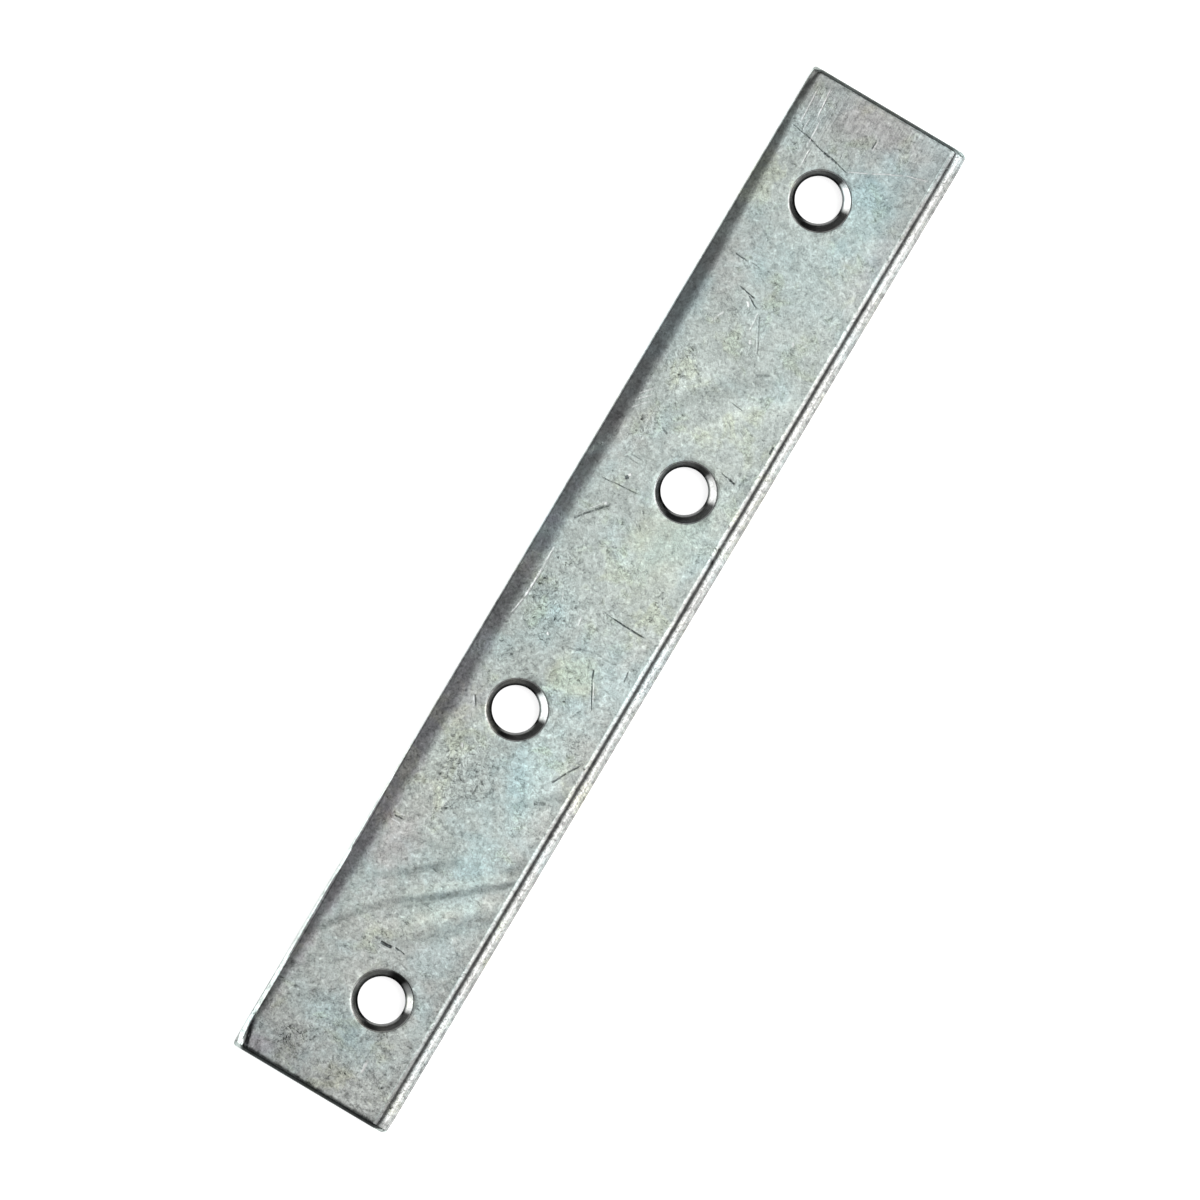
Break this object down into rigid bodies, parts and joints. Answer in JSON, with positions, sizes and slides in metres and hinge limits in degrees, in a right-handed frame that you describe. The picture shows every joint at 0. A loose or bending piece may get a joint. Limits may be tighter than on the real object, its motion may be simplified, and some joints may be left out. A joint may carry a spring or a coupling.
{
  "type": "mending plate",
  "caption": "Straight flat steel mending plate with softened long edges and countersunk screw holes staggered in a zigzag row, for joining timber face to face.",
  "frame": {"origin": "middle of the flat back, so the plate rests on Z = 0", "axes": "+Y along the length, towards the end whose outer hole is left of the centreline; +Z out of the countersunk face; +X across the width"},
  "size_m": [0.0158, 0.1016, 0.002],
  "materials": {
    "plate": "clear zinc plating, satin and faintly mottled blue and straw, with light handling scratches"
  },
  "bodies": {
    "root": {"plate": "plate"}
  },
  "joints": []
}
